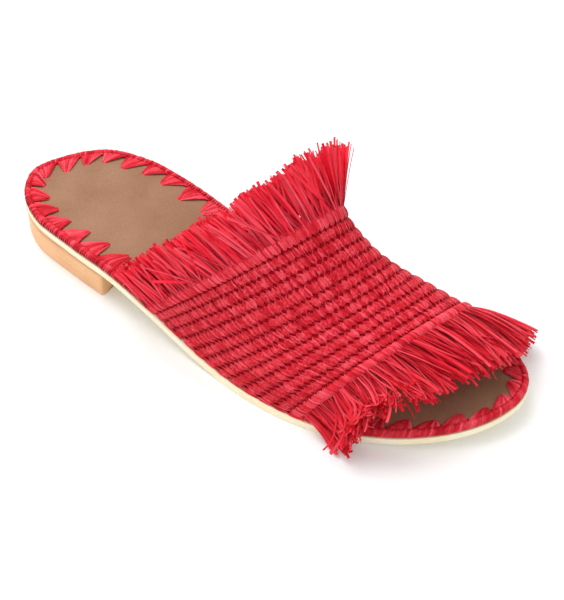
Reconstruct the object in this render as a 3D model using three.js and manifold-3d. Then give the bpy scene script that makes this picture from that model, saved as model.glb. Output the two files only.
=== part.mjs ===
// A woven raffia slide sandal for the right foot, in millimetres.
// +Y points to the toe, +X to the little-toe side, +Z up, and the shoe stands on Z = 0.
import * as THREE from "three";
import { mergeVertices } from "three/addons/utils/BufferGeometryUtils.js";
import Module from "manifold-3d";

const wasm = await Module();
wasm.setup();

// Driving dimensions
const fitGap = 0.3; // between pieces that meet
const sliver = 0.02; // finer edges left by a cut are merged
const sole = {
  length: 252,
  thickness: 3.6,
  heelHeight: 14.6,
  shankFrom: 0.238, // shares of the length: the underside falls from the heel seat to the tread
  shankTo: 0.556,
  springFrom: 0.714, // the toe starts to lift here
  toeSpring: 6.8,
  stations: 46,
  endTrim: 0.1, // flat left at the two tips of the outline
};
const heel = { breast: 63, topInset: 0.5, bottomInset: 1.3, stations: 18 };
const insole = { inset: 4, thickness: 2.4 };
const edging = {
  inset: 0.5, // of its outer skirt, from the outsole's edge
  rise: 0.9, // over the insole
  points: 48, // of the zigzag on the insole
  notchDepth: 5.2, // from the outsole's edge to the notch between two points
  tipDepth: 11.4, // and to the tip of a point
  tipLean: 2, // of the tips, towards the middle of the shoe
};
const band = {
  wall: 1.5,
  inset: 2.8, // of its inner face, from the outsole's edge
  // places of the grooves between the ribs, of which the first and the last are the rolled edges
  grooves: [0.075, 0.129, 0.188, 0.251, 0.328, 0.398, 0.478, 0.56, 0.648, 0.74, 0.833, 0.914],
  ribRise: 1.1,
  rollRise: 1.9,
  stepsPerRib: 3,
  stepsAcross: 26,
  clearance: 8, // kept free of edging outside the wall and below its feet
  edgeMargin: 1, // and past its two edges
};
const fringe = {
  rootDepth: 2.4, // of the cord that carries the locks
  rootThickness: 1.5,
  lockThickness: 0.9,
  lockWidth: 1.05, // shares of the pitch
  lockSteps: 3,
  lengthScatter: 0.12, // share of the length
  liftScatter: 7, // degrees
  lowest: 0.9, // above the floor
  seed: 11,
};
const backFringe = {
  locks: 34,
  length: 26,
  sideLength: 1, // share of it that the locks by the feet have
  // degrees out of the band's face at places across it, from the little-toe foot to the big-toe foot
  liftAcross: [0, 0.25, 0.42, 0.52, 0.62, 0.75, 1],
  lift: [16, 9, 13, 20, 28, 26, 20],
  lean: 0, // degrees along the edge to the big-toe side
  splay: 9, // and to both sides
  droop: 0.08, // share of the length that a tip hangs
  from: 0.045, // shares of the way across the band
  to: 0.955,
};
const frontFringe = {
  locks: 32,
  length: 24,
  sideLength: 0.85,
  liftAcross: [0, 0.1, 0.25, 0.7, 0.88, 1],
  lift: [30, 24, 10, 10, 26, 30],
  lean: 9,
  splay: 7,
  droop: 0.12,
  from: 0.06,
  to: 0.94,
};

// Plan of the outsole: distance from the heel, and half widths from the shoe's axis
const heelTip = { x: 1.5, y: 0 };
const toeTip = { x: -11, y: 252 };
const outlineTable = [
  { fromHeel: 6, medial: 13.8, lateral: 15.4 },
  { fromHeel: 20, medial: 29.2, lateral: 25.4 },
  { fromHeel: 42, medial: 34.6, lateral: 30.4 },
  { fromHeel: 68, medial: 32.8, lateral: 34.6 },
  { fromHeel: 96, medial: 31.2, lateral: 38.8 },
  { fromHeel: 125, medial: 32.4, lateral: 43.4 },
  { fromHeel: 152, medial: 36.8, lateral: 47.4 },
  { fromHeel: 175, medial: 40.6, lateral: 47.2 },
  { fromHeel: 200, medial: 41.8, lateral: 41.6 },
  { fromHeel: 222, medial: 39.2, lateral: 31.4 },
  { fromHeel: 240, medial: 31.2, lateral: 16.6 },
  { fromHeel: 249, medial: 22, lateral: 2.4 },
];

// The band's arches from its back edge (place 0) to its front edge (place 1).
// The two feet stand on the sole's edge, the crown is that high above it and leans forward of the feet.
// fullness squares the shoulders (2 is an ellipse), and skew moves the crown to the little-toe side.
const archTable = [
  { place: 0, lateralFoot: 89, medialFoot: 106, height: 60, lean: 54.5, fullness: 2.46, skew: -6.8 },
  { place: 0.33, lateralFoot: 119, medialFoot: 138, height: 46, lean: 46, fullness: 2.4, skew: -5 },
  { place: 0.665, lateralFoot: 149, medialFoot: 172, height: 37.5, lean: 32, fullness: 2.3, skew: -3 },
  { place: 1, lateralFoot: 179, medialFoot: 205, height: 31, lean: 18.5, fullness: 2.2, skew: -1 },
];

// Plan outline, inset from the outsole's edge
const outlineCurve = new THREE.CatmullRomCurve3(
  [
    new THREE.Vector3(heelTip.x, heelTip.y, 0),
    ...outlineTable.map((row) => new THREE.Vector3(row.lateral, row.fromHeel, 0)),
    new THREE.Vector3(toeTip.x, toeTip.y, 0),
    ...outlineTable.toReversed().map((row) => new THREE.Vector3(-row.medial, row.fromHeel, 0)),
  ],
  true,
);
const outlineSamples = 1200;
outlineCurve.arcLengthDivisions = outlineSamples;

// A point of the outline at a share of its way round, moved inwards
function outlinePoint(share, inset) {
  const point = outlineCurve.getPointAt(share % 1);
  const along = outlineCurve.getTangentAt(share % 1);
  return new THREE.Vector2(point.x - along.y * inset, point.y + along.x * inset);
}

// The two sides of an inset outline, as widths at a distance from the heel
function outlineSides(inset) {
  const ring = [];
  for (let i = 0; i < outlineSamples; i += 1) ring.push(outlinePoint(i / outlineSamples, inset));
  const lowest = ring.reduce((best, p) => (p.y < best.y ? p : best));
  const highest = ring.reduce((best, p) => (p.y > best.y ? p : best));
  const middleAt = (y) => THREE.MathUtils.mapLinear(y, lowest.y, highest.y, lowest.x, highest.x);
  const side = (sign) => ring.filter((p) => sign * (p.x - middleAt(p.y)) >= 0).sort((a, b) => a.y - b.y);
  const lateral = side(1);
  const medial = side(-1);
  return {
    from: lowest.y,
    to: highest.y,
    lateralAt: (y) => readSide(lateral, y),
    medialAt: (y) => readSide(medial, y),
  };
}

function readSide(points, y) {
  const next = points.findIndex((p) => p.y >= y);
  if (next <= 0) return points.at(next).x;
  const [a, b] = [points[next - 1], points[next]];
  return THREE.MathUtils.mapLinear(y, a.y, b.y, a.x, b.x);
}

// Height of the outsole's underside, and of the layers on it, at a distance from the heel
function treadHeight(y) {
  const share = y / sole.length;
  const shank = 1 - THREE.MathUtils.smoothstep(share, sole.shankFrom, sole.shankTo);
  const spring = Math.max(0, (share - sole.springFrom) / (1 - sole.springFrom));
  return sole.heelHeight * shank + sole.toeSpring * spring ** 2;
}
const outsoleTop = (y) => treadHeight(y) + sole.thickness;
const insoleTop = (y) => outsoleTop(y) + fitGap + insole.thickness;
const edgingTop = (y) => insoleTop(y) + fitGap + edging.rise;

// Solids: a slab is closed between two like grids of points, and a solid is a slab ready to cut or join
function slab(upper, lower) {
  const rows = upper.length;
  const columns = upper[0].length;
  const above = (i, j) => i * columns + j;
  const below = (i, j) => (rows + i) * columns + j;
  const faces = [];
  const quad = (a, b, c, d) => faces.push(a, b, c, a, c, d);
  const lastRow = rows - 1;
  const lastColumn = columns - 1;
  for (let i = 0; i < lastRow; i += 1) {
    for (let j = 0; j < lastColumn; j += 1) {
      quad(above(i, j), above(i, j + 1), above(i + 1, j + 1), above(i + 1, j));
      quad(below(i, j), below(i + 1, j), below(i + 1, j + 1), below(i, j + 1));
    }
    quad(above(i, 0), above(i + 1, 0), below(i + 1, 0), below(i, 0));
    quad(above(i + 1, lastColumn), above(i, lastColumn), below(i, lastColumn), below(i + 1, lastColumn));
  }
  for (let j = 0; j < lastColumn; j += 1) {
    quad(above(0, j + 1), above(0, j), below(0, j), below(0, j + 1));
    quad(above(lastRow, j), above(lastRow, j + 1), below(lastRow, j + 1), below(lastRow, j));
  }
  const points = [...upper.flat(), ...lower.flat()].flatMap((p) => [p.x, p.y, p.z]);
  return new THREE.BufferGeometry()
    .setAttribute("position", new THREE.Float32BufferAttribute(points, 3))
    .setIndex(faces);
}

function solidOf(geometry) {
  const bare = geometry.clone();
  bare.deleteAttribute("normal");
  bare.deleteAttribute("uv");
  const merged = mergeVertices(bare);
  const triVerts = new Uint32Array(merged.index.array);
  return new wasm.Manifold(
    new wasm.Mesh({ numProp: 3, vertProperties: merged.attributes.position.array, triVerts }),
  );
}

function geometryOf(solid) {
  const mesh = solid.getMesh();
  return new THREE.BufferGeometry()
    .setAttribute("position", new THREE.BufferAttribute(mesh.vertProperties, 3))
    .setIndex(new THREE.BufferAttribute(mesh.triVerts, 1));
}

// A layer of the sole between two insets and two heights, from the heel to a distance along the shoe
function soleLayer({ topInset, bottomInset = topInset, top, bottom, end = sole.length, stations }) {
  const steps = stations ?? sole.stations;
  const row = (sides, share, height) => {
    const from = sides.from + sole.endTrim;
    const to = Math.min(end, sides.to - sole.endTrim);
    const turn = end < sole.length ? Math.PI / 2 : Math.PI;
    const y = from + ((to - from) * (1 - Math.cos(share * turn))) / (1 - Math.cos(turn));
    const z = height(y);
    return [new THREE.Vector3(sides.medialAt(y), y, z), new THREE.Vector3(sides.lateralAt(y), y, z)];
  };
  const shares = Array.from({ length: steps + 1 }, (_, i) => i / steps);
  const topSides = outlineSides(topInset);
  const bottomSides = outlineSides(bottomInset);
  return slab(
    shares.map((share) => row(topSides, share, top)),
    shares.map((share) => row(bottomSides, share, bottom)),
  );
}

const outsoleShape = () => soleLayer({ topInset: 0, top: outsoleTop, bottom: treadHeight });

const insoleShape = (grow = 0) =>
  soleLayer({
    topInset: insole.inset - grow,
    top: (y) => insoleTop(y) + grow,
    bottom: (y) => outsoleTop(y) + fitGap - grow,
  });

const heelShape = () =>
  soleLayer({
    topInset: heel.topInset,
    bottomInset: heel.bottomInset,
    top: (y) => treadHeight(y) - fitGap,
    bottom: () => 0,
    end: heel.breast,
    stations: heel.stations,
  });

// The band: a point of its arches, raised from its inner face
const archColumns = ["lateralFoot", "medialFoot", "height", "lean", "fullness", "skew"];
const archReader = new THREE.CubicInterpolant(
  archTable.map((row) => row.place),
  archTable.flatMap((row) => archColumns.map((column) => row[column])),
  archColumns.length,
);
const bandSides = outlineSides(band.inset);

function archAt(place) {
  const values = archReader.evaluate(place);
  return Object.fromEntries(archColumns.map((column, i) => [column, values[i]]));
}

// across runs from the little-toe foot (0) over the crown to the big-toe foot (1)
function bandSkin(across, place) {
  const arch = archAt(place);
  const angle = Math.PI * across;
  const power = 2 / arch.fullness;
  const reach = Math.sign(Math.cos(angle)) * Math.abs(Math.cos(angle)) ** power;
  const climb = Math.abs(Math.sin(angle)) ** power;
  const lateralX = bandSides.lateralAt(arch.lateralFoot);
  const medialX = bandSides.medialAt(arch.medialFoot);
  const mix = (1 - reach) / 2;
  const seat = THREE.MathUtils.lerp(outsoleTop(arch.lateralFoot), outsoleTop(arch.medialFoot), mix);
  return new THREE.Vector3(
    THREE.MathUtils.lerp(lateralX, medialX, mix) + arch.skew * climb * (1 - reach ** 2),
    THREE.MathUtils.lerp(arch.lateralFoot, arch.medialFoot, mix) + arch.lean * climb,
    seat + fitGap + arch.height * climb,
  );
}

// Directions on the band: along its edge, out of its face, and off it to the back or the front
function bandFrame(across, place) {
  const step = 0.004;
  const low = THREE.MathUtils.clamp(across, step, 1 - step);
  const edge = bandSkin(low + step, place).sub(bandSkin(low - step, place)).normalize();
  const forward = bandSkin(low, Math.min(1, place + step)).sub(bandSkin(low, Math.max(0, place - step)));
  const out = new THREE.Vector3().crossVectors(forward, edge).normalize();
  const ahead = new THREE.Vector3().crossVectors(edge, out).normalize();
  return { edge, out, ahead };
}

function bandPoint(across, place, raise) {
  return bandSkin(across, place).addScaledVector(bandFrame(across, place).out, raise);
}

// Height of the woven ribs over the wall: rolled edges first and last
const ribEnds = [...band.grooves, 1];
const ribStart = (rib) => (rib === 0 ? 0 : ribEnds[rib - 1]);

function ribRise(place) {
  const rib = ribEnds.findIndex((end) => place <= end);
  const crest = rib === 0 || rib === ribEnds.length - 1 ? band.rollRise : band.ribRise;
  return crest * Math.sin(Math.PI * THREE.MathUtils.inverseLerp(ribStart(rib), ribEnds[rib], place));
}

// Places of the rows that the band is made of, from its back edge to its front edge
const bandPlaces = ribEnds.flatMap((end, rib) => {
  const step = (end - ribStart(rib)) / band.stepsPerRib;
  return Array.from({ length: band.stepsPerRib }, (_, i) => ribStart(rib) + step * i);
});
bandPlaces.push(1);

// A shell between two heights over the inner face.
// With a margin it runs on past both edges, and its feet are carried straight down by legs.
function bandSlab(outer, inner, margin = 0, legs = 0) {
  const below = (point) => new THREE.Vector3(point.x, point.y, point.z - legs);
  const rowAt = (place, raise, ahead = 0) => {
    const row = Array.from({ length: band.stepsAcross + 1 }, (_, j) => {
      const across = 1 - j / band.stepsAcross;
      return bandPoint(across, place, raise(place)).addScaledVector(bandFrame(across, place).ahead, ahead);
    });
    return legs > 0 ? [below(row[0]), ...row, below(row.at(-1))] : row;
  };
  const grid = (raise) => {
    const rows = bandPlaces.map((place) => rowAt(place, raise));
    return margin > 0 ? [rowAt(0, raise, -margin), ...rows, rowAt(1, raise, margin)] : rows;
  };
  return slab(grid(outer), grid(inner));
}

const upperShape = () =>
  bandSlab(
    (place) => band.wall + ribRise(place),
    () => 0,
  );

// Room that the band needs: its wall and a gap, and all that lies outside it
const bandRoom = () =>
  bandSlab(
    () => band.wall + band.clearance,
    () => -fitGap,
    band.edgeMargin,
    band.clearance,
  );

// The raffia edging of the insole: a skirt round its side and a zigzag border on its top
function edgingOpening() {
  const outline = [];
  const tall = 4 * sole.heelHeight;
  for (let point = 0; point < edging.points; point += 1) {
    const share = (point + 0.5) / edging.points;
    const along = outlineCurve.getTangentAt(share);
    const tip = outlinePoint(share, edging.tipDepth);
    const lean = edging.tipLean * along.y * Math.cos((Math.PI * tip.y) / sole.length);
    outline.push(outlinePoint(point / edging.points, edging.notchDepth));
    outline.push(tip.add(new THREE.Vector2(along.x, along.y).multiplyScalar(lean)));
  }
  return new THREE.ExtrudeGeometry(new THREE.Shape(outline), { depth: tall, bevelEnabled: false });
}

function edgingShape() {
  const body = soleLayer({
    topInset: edging.inset,
    top: edgingTop,
    bottom: (y) => outsoleTop(y) + fitGap,
  });
  const ring = solidOf(body)
    .subtract(solidOf(insoleShape(fitGap)))
    .subtract(solidOf(edgingOpening()))
    .subtract(solidOf(bandRoom()));
  return geometryOf(ring.simplify(sliver));
}

// Fringes: a root cord along an edge of the band with flat locks fused to it
THREE.MathUtils.seededRandom(fringe.seed);
const scatter = () => 2 * THREE.MathUtils.seededRandom() - 1;

function fringeShape(size, place, direction) {
  const edgePoint = (across, off, raise) => {
    const { out, ahead } = bandFrame(across, place);
    return bandSkin(across, place).addScaledVector(ahead, direction * off).addScaledVector(out, raise);
  };
  const rootGrid = (raise) =>
    Array.from({ length: size.locks + 1 }, (_, i) => {
      const across = THREE.MathUtils.lerp(size.from, size.to, i / size.locks);
      return [fitGap, fitGap + fringe.rootDepth].map((off) => edgePoint(across, off, raise));
    });
  let solid = outward(slab(rootGrid(fringe.rootThickness), rootGrid(0)));
  for (let lock = 0; lock < size.locks; lock += 1) {
    solid = solid.add(outward(lockShape(size, place, direction, lock, edgePoint)));
  }
  return geometryOf(solid);
}

function lockShape(size, place, direction, lock, edgePoint) {
  const pitch = (size.to - size.from) / size.locks;
  const across = size.from + pitch * (lock + 0.5);
  const { edge, out, ahead } = bandFrame(across, place);
  const room = edgePoint(across + pitch / 2, 0, 0).distanceTo(edgePoint(across - pitch / 2, 0, 0));
  const halfWidth = (fringe.lockWidth * room) / 2;
  const sideways = Math.cos(Math.PI * across) ** 4;
  const fullLength = size.length * THREE.MathUtils.lerp(1, size.sideLength, sideways);
  const length = fullLength * (1 + fringe.lengthScatter * scatter());
  const [rise] = new THREE.LinearInterpolant(size.liftAcross, size.lift, 1).evaluate(across);
  const lift = THREE.MathUtils.degToRad(rise + fringe.liftScatter * scatter());
  const splay = THREE.MathUtils.degToRad(size.lean * (1 - sideways) + size.splay * scatter());
  const heading = ahead.clone().multiplyScalar(direction * Math.cos(lift) * Math.cos(splay));
  heading.addScaledVector(out, Math.sin(lift)).addScaledVector(edge, Math.cos(lift) * Math.sin(splay));
  const side = new THREE.Vector3().crossVectors(out, heading).normalize();
  const face = new THREE.Vector3().crossVectors(heading, side).normalize();
  const base = edgePoint(across, fitGap + fringe.rootDepth / 2, fringe.rootThickness / 2);
  const half = fringe.lockThickness / 2;
  const row = (share, raise) => {
    const centre = base.clone().addScaledVector(heading, length * share);
    centre.z -= size.droop * length * share ** 2;
    const lowest = fringe.lowest + half + raise;
    return [-1, 1].map((way) => {
      const corner = centre.clone().addScaledVector(side, way * halfWidth).addScaledVector(face, raise);
      return corner.setZ(Math.max(corner.z, lowest));
    });
  };
  const shares = Array.from({ length: fringe.lockSteps }, (_, i) => i / (fringe.lockSteps - 1));
  return slab(
    shares.map((share) => row(share, half)),
    shares.map((share) => row(share, -half)),
  );
}

// A solid with its faces turned outwards
function outward(geometry) {
  const solid = solidOf(geometry);
  if (solid.volume() > 0) return solid;
  const faces = geometry.index.array;
  for (let i = 0; i < faces.length; i += 3) [faces[i], faces[i + 1]] = [faces[i + 1], faces[i]];
  return solidOf(geometry);
}

// Finishes
const finish = (color, roughness) => new THREE.MeshStandardMaterial({ color, roughness, metalness: 0 });
const raffia = finish("#c9182f", 0.6);
const fringeRaffia = finish("#d81f36", 0.55);
const suede = finish("#937358", 0.9);
const soleLeather = finish("#efdcb4", 0.6);
const heelLeather = finish("#dfa968", 0.5);

// The shoe, moved so that the middle of its box is over the origin
const pieces = [
  ["outsole", outsoleShape(), soleLeather],
  ["heel", heelShape(), heelLeather],
  ["insole", insoleShape(), suede],
  ["insole_edging", edgingShape(), raffia],
  ["upper", upperShape(), raffia],
  ["fringe_back", fringeShape(backFringe, 0, -1), fringeRaffia],
  ["fringe_front", fringeShape(frontFringe, 1, 1), fringeRaffia],
];
const shoe = new THREE.Group();
for (const [name, geometry, material] of pieces) {
  const mesh = new THREE.Mesh(geometry, material);
  mesh.name = name;
  shoe.add(mesh);
}
const middle = new THREE.Box3().setFromObject(shoe).getCenter(new THREE.Vector3());
shoe.position.set(-middle.x, -middle.y, 0);

const sandal = new THREE.Group();
sandal.add(shoe);
export default sandal;
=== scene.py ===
# Red raffia slide sandal: woven band, fringes, edged insole, leather sole and block heel
import math
import bpy
import numpy as np
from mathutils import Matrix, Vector


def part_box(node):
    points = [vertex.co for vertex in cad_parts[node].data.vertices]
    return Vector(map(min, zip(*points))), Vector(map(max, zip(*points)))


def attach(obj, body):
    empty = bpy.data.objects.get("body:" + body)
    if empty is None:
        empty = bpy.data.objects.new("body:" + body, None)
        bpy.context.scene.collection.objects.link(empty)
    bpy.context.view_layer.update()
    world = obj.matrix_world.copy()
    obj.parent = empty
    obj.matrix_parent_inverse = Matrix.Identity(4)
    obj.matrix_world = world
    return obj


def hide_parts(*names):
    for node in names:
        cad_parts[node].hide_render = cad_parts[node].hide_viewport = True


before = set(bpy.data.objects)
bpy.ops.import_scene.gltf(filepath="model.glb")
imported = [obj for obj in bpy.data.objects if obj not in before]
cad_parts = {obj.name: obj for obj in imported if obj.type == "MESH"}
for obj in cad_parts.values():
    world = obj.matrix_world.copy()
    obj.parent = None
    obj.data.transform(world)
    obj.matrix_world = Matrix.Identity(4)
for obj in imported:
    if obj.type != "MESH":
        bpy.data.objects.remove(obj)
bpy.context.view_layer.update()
mm = 0.001
rng = np.random.default_rng(7)
up = np.array([0, 0, 1.0])

# Shoe sizes in millimetres: x to the little-toe side, y from the heel to the toe, z up from the floor
sole = {
    "length": 252, "thickness": 3.6, "heelHeight": 14.6, "toeSpring": 6.8,
    "shankFrom": 0.238, "shankTo": 0.556, "springFrom": 0.714,  # shares of the length
    "heelTip": (1.5, 0), "toeTip": (-11, 252), "spine": (30, 222),
    "curveSteps": 60, "ringPoints": 1600,
    "outline": [  # from the heel, half width on the big-toe side, half width on the little-toe side
        (6, 13.8, 15.4), (20, 29.2, 25.4), (42, 34.6, 30.4), (68, 32.8, 34.6),
        (96, 31.2, 38.8), (125, 32.4, 43.4), (152, 36.8, 47.4), (175, 40.6, 47.2),
        (200, 41.8, 41.6), (222, 39.2, 31.4), (240, 31.2, 16.6), (249, 22, 2.4),
    ],
}


def lerp(a, b, t):
    return a + (b - a) * t


def smoothStep(x, low, high):
    t = np.clip((x - low) / (high - low), 0, 1)
    return t * t * (3 - 2 * t)


def unit(v):
    return v / np.linalg.norm(v, axis=-1, keepdims=True)


def tableAt(table, share):
    return np.interp(share, *zip(*table))


def evenShares(count):
    return (np.arange(count) + 0.5) / count


def closedCurve(points, steps):
    # centripetal Catmull-Rom through the points, round to the first again
    points = np.asarray(points, float)
    parts = []
    t = np.linspace(0, 1, steps, endpoint=False)[:, None]
    for i in range(len(points)):
        p0, p1, p2, p3 = (points[(i + k) % len(points)] for k in (-1, 0, 1, 2))
        d0, d1, d2 = (np.linalg.norm(b - a) ** 0.5 for a, b in ((p0, p1), (p1, p2), (p2, p3)))
        m1 = ((p1 - p0) / d0 - (p2 - p0) / (d0 + d1) + (p2 - p1) / d1) * d1
        m2 = ((p2 - p1) / d1 - (p3 - p1) / (d1 + d2) + (p3 - p2) / d2) * d1
        square, cube = 3 * (p2 - p1) - 2 * m1 - m2, 2 * (p1 - p2) + m1 + m2
        parts.append(p1 + m1 * t + square * t**2 + cube * t**3)
    return np.concatenate(parts)


outlineTrack = closedCurve(
    [sole["heelTip"]]
    + [(lateral, y) for y, medial, lateral in sole["outline"]]
    + [sole["toeTip"]]
    + [(-medial, y) for y, medial, lateral in reversed(sole["outline"])],
    sole["curveSteps"],
)
outlineTrack = np.vstack([outlineTrack, outlineTrack[:1]])
outlineRun = np.concatenate([[0], np.cumsum(np.linalg.norm(np.diff(outlineTrack, axis=0), axis=1))])
outlineWay = unit(np.gradient(outlineTrack, axis=0))
outlineWay[0] = outlineWay[-1] = unit(outlineTrack[1] - outlineTrack[-2])


def outline(share, inset=0.0):
    # points of the sole's outline at shares of the way round from the heel tip, moved inwards
    run = np.mod(share, 1) * outlineRun[-1]
    x, y, ax, ay = (np.interp(run, outlineRun, column) for column in (*outlineTrack.T, *outlineWay.T))
    return np.stack([x, y], -1) + np.stack([-ay, ax], -1) * inset


def outlineDirection(share):
    run = np.mod(share, 1) * outlineRun[-1]
    return unit(np.stack([np.interp(run, outlineRun, column) for column in outlineWay.T], -1))


def sideX(y, inset, lateral):
    # x of one side of the inset outline at a distance from the heel
    ring = outline(np.linspace(0, 1, sole["ringPoints"], endpoint=False), inset)
    top = ring[:, 1].argmax()
    side = ring[:top] if lateral else ring[top:][::-1]
    return np.interp(y, side[:, 1], side[:, 0])


def treadHeight(y):
    share = np.asarray(y) / sole["length"]
    spring = np.clip((share - sole["springFrom"]) / (1 - sole["springFrom"]), 0, None)
    shank = 1 - smoothStep(share, sole["shankFrom"], sole["shankTo"])
    return sole["heelHeight"] * shank + sole["toeSpring"] * spring**2


def soleTop(y):
    return treadHeight(y) + sole["thickness"]


# From shoe millimetres to the frame, by the outsole's box
outsoleLow, outsoleHigh = (np.array(corner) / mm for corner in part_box("outsole"))
shoeMiddle = (outlineTrack.min(0) + outlineTrack.max(0)) / 2
shift = np.append((outsoleLow + outsoleHigh)[:2] / 2 - shoeMiddle, 0)


def toFrame(points):
    return (np.asarray(points) + shift) * mm


# Mesh makers
stripColumns = 5  # points across each strip of raffia


def makePiece(name, points, quads, material, nodes, strand=None, depth=None):
    mesh = bpy.data.meshes.new(name)
    points = toFrame(points).reshape(-1, 3)
    quads = np.asarray(quads, np.int32).reshape(-1, 4)
    mesh.vertices.add(len(points))
    mesh.vertices.foreach_set("co", points.astype(np.float32).ravel())
    mesh.loops.add(quads.size)
    mesh.loops.foreach_set("vertex_index", quads.ravel())
    mesh.polygons.add(len(quads))
    mesh.polygons.foreach_set("loop_start", np.arange(0, quads.size, 4, dtype=np.int32))
    mesh.update(calc_edges=True)
    mesh.shade_smooth()
    if strand is not None:
        layer = mesh.attributes.new("strand", "FLOAT_VECTOR", "POINT")
        layer.data.foreach_set("vector", np.asarray(strand, np.float32).ravel())
    # depth carries painted shade for the raffia finishes
    if depth is not None:
        layer = mesh.attributes.new("depth", "FLOAT", "POINT")
        layer.data.foreach_set("value", np.asarray(depth, np.float32).ravel())
    mesh.materials.append(material)
    piece = bpy.data.objects.new(name, mesh)
    bpy.context.scene.collection.objects.link(piece)
    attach(piece, "root")
    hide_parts(*nodes)
    print("made", name, len(mesh.polygons), "faces")


def gridQuads(count, rows, columns, closed=False):
    # quads of many like grids of points, rows by columns, closed round the columns if asked
    i, j = np.meshgrid(np.arange(rows - 1), np.arange(columns if closed else columns - 1), indexing="ij")
    k = (j + 1) % columns
    one = np.stack([i * columns + j, i * columns + k, (i + 1) * columns + k, (i + 1) * columns + j], -1)
    return (np.arange(count)[:, None, None] * rows * columns + one.reshape(-1, 4)).reshape(-1, 4)


def makeRings(name, rings, material, nodes):
    rings = np.asarray(rings)
    makePiece(name, rings, gridQuads(1, len(rings), rings.shape[1], True), material, nodes)


def makeStrips(name, strips, material, nodes):
    points, strand, depth = strips
    makePiece(name, points, gridQuads(len(points), *points.shape[1:3]), material, nodes, strand, depth)


def stripFrame(path, outward):
    # directions across strips and out of their faces, for paths (strips, steps, 3)
    along = unit(np.gradient(path, axis=1))
    side = unit(np.cross(along, np.broadcast_to(outward, path.shape)))
    return side, np.cross(side, along)


def ribbons(path, side, face, halfWidth, crown):
    # flat strips along paths, each bowed by its crown across its width
    across = np.linspace(-1, 1, stripColumns)
    bow = 1 - across**2
    halfWidth = np.asarray(halfWidth)[..., None, None]
    crown = np.asarray(crown)[..., None, None]
    return (
        path[:, :, None, :]
        + side[:, :, None, :] * (halfWidth * across[:, None])
        + face[:, :, None, :] * (crown * bow[:, None])
    )


def randomTones(count, middle, spread):
    return np.clip(rng.normal(middle, spread, count), 0, 1)


def strandData(steps, length, tone):
    # across, along in millimetres and tone, for each point of each strip
    shape = len(tone), steps, stripColumns
    along = np.linspace(0, 1, steps) * np.broadcast_to(length, len(tone))[:, None]
    layers = np.linspace(-1, 1, stripColumns), along[:, :, None], tone[:, None, None]
    return np.stack([np.broadcast_to(layer, shape) for layer in layers], -1)


# Shader nodes
class Wire:
    # a socket of a material, with arithmetic that adds Math nodes
    def __init__(self, finish, socket):
        self.finish = finish
        self.socket = socket

    def calc(self, operation, *values):
        return self.finish.node("ShaderNodeMath", {"operation": operation}, values)

    def __add__(self, other):
        return self.calc("ADD", self, other)

    def __sub__(self, other):
        return self.calc("SUBTRACT", self, other)

    def __rsub__(self, other):
        return self.calc("SUBTRACT", other, self)

    def __mul__(self, other):
        return self.calc("MULTIPLY", self, other)

    def __pow__(self, other):
        return self.calc("POWER", self, other)

    def __abs__(self):
        return self.calc("ABSOLUTE", self)


class Finish:
    # one material: its Principled shader and the nodes that feed it
    def __init__(self, name, **fixed):
        self.material = bpy.data.materials.new(name)
        self.material.use_nodes = True
        self.tree = self.material.node_tree
        self.shader = self.tree.nodes["Principled BSDF"]
        for socket, value in fixed.items():
            self.shader.inputs[socket].default_value = value

    def node(self, kind, settings=None, sockets=(), out=0):
        made = self.tree.nodes.new(kind)
        for key, value in (settings or {}).items():
            if key == "stops":
                ramp = made.color_ramp.elements
                while len(ramp) < len(value):
                    ramp.new(1)
                for element, (position, colour) in zip(ramp, value):
                    element.position = position
                    element.color = (*colour, 1)
            else:
                setattr(made, key, value)
        pairs = sockets.items() if isinstance(sockets, dict) else enumerate(sockets)
        for key, value in pairs:
            if isinstance(value, Wire):
                self.tree.links.new(value.socket, made.inputs[key])
            else:
                made.inputs[key].default_value = value
        return Wire(self, made.outputs[out])

    def feed(self, socket, wire):
        self.tree.links.new(wire.socket, self.shader.inputs[socket])

    def ramp(self, factor, *stops):
        return self.node("ShaderNodeValToRGB", {"stops": stops}, [factor])

    def tones(self, factor, look):
        return self.ramp(factor, *zip(look["stops"], (look["dark"], look["middle"], look["light"])))

    def noise(self, vector, scale, detail=2.0, roughness=0.5):
        sockets = {"Vector": vector, "Scale": scale, "Detail": detail, "Roughness": roughness}
        return self.node("ShaderNodeTexNoise", {}, sockets)

    def clamp(self, value):
        return self.node("ShaderNodeClamp", {}, [value])

    def vector(self, x, y, z):
        return self.node("ShaderNodeCombineXYZ", {}, [x, y, z])

    def split(self, vector, axes):
        return [self.node("ShaderNodeSeparateXYZ", {}, [vector], axis) for axis in axes]

    def position(self):
        return self.node("ShaderNodeTexCoord", {}, (), "Object")

    def stretched(self, scales):
        # object coordinates, each axis scaled
        return self.node("ShaderNodeVectorMath", {"operation": "MULTIPLY"}, [self.position(), scales])

    def millimetres(self, axes):
        return [part * 1000 for part in self.split(self.position(), axes)]

    def mix(self, factor, a, b):
        return self.node("ShaderNodeMix", {"data_type": "RGBA"}, {0: factor, 6: a, 7: b}, 2)

    def bump(self, height, strength, distance):
        sockets = {"Strength": strength, "Distance": distance, "Height": height}
        self.feed("Normal", self.node("ShaderNodeBump", {}, sockets))


# Raffia: one finish in several reds
raffiaLook = {
    "dark": (0.3, 0.002, 0.008), "middle": (0.67, 0.009, 0.024), "light": (1.0, 0.11, 0.15),
    # the dark red mixed in for painted shade at strip edges, grooves and holes stands after the stops
    "stops": (0.22, 0.52, 0.82), "gap": (0.38, 0.0015, 0.008),
    "fibre": (4.5, 0.05, 80), "patch": (0.6, 0.16, 130),  # scales across, along and from strip to strip
    "cloud": 130, "grain": 850, "shadeFrom": 0.12,
    "toneShare": 0.34, "streakShare": 0.46, "cloudShare": 0.34, "grainShare": 0.55,
    "edgeShade": 0.6, "edgePower": 5, "grooveShade": 0.9, "gloss": 0.14, "roughness": 0.32, "roughSpread": 0.3,
    "bump": 0.6, "bumpDeep": 0.0003, "patchBump": 0.4,
}


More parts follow.
